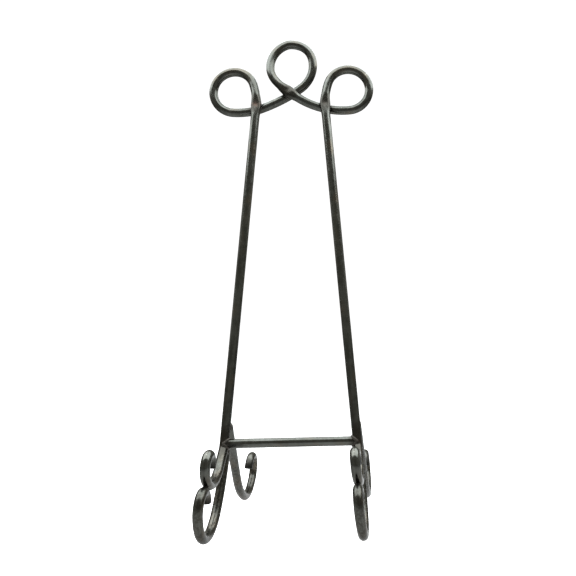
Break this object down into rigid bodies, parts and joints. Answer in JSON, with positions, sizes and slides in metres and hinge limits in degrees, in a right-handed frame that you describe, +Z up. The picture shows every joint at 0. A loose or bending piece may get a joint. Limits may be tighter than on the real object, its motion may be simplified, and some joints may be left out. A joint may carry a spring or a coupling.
{
  "type": "display easel",
  "caption": "Free-standing display easel bent from round iron bar, with hooks that hold a picture or plate, scrolled feet and looped tops.",
  "frame": {"origin": "on the surface the easel stands on, under the middle of its bounding box", "axes": "+X to the right as the easel is faced, +Y to its back, +Z up"},
  "size_m": [0.1334, 0.1982, 0.3843],
  "materials": {
    "iron": "dark gunmetal, semi-gloss, lightly scuffed",
    "weld_metal": "brown, heat-tinted, rougher than the bar"
  },
  "bodies": {
    "root": {"crown": "iron", "crossbar": "iron", "left_upright": "iron", "left_front_foot": "iron", "left_back_foot": "iron", "right_upright": "iron", "right_front_foot": "iron", "right_back_foot": "iron", "crown_crossing_weld": "weld_metal", "left_crossbar_weld": "weld_metal", "left_loop_weld": "weld_metal", "left_front_foot_weld": "weld_metal", "left_back_foot_weld": "weld_metal", "left_hook_tack": "weld_metal", "right_crossbar_weld": "weld_metal", "right_loop_weld": "weld_metal", "right_front_foot_weld": "weld_metal", "right_back_foot_weld": "weld_metal", "right_hook_tack": "weld_metal"}
  },
  "joints": []
}
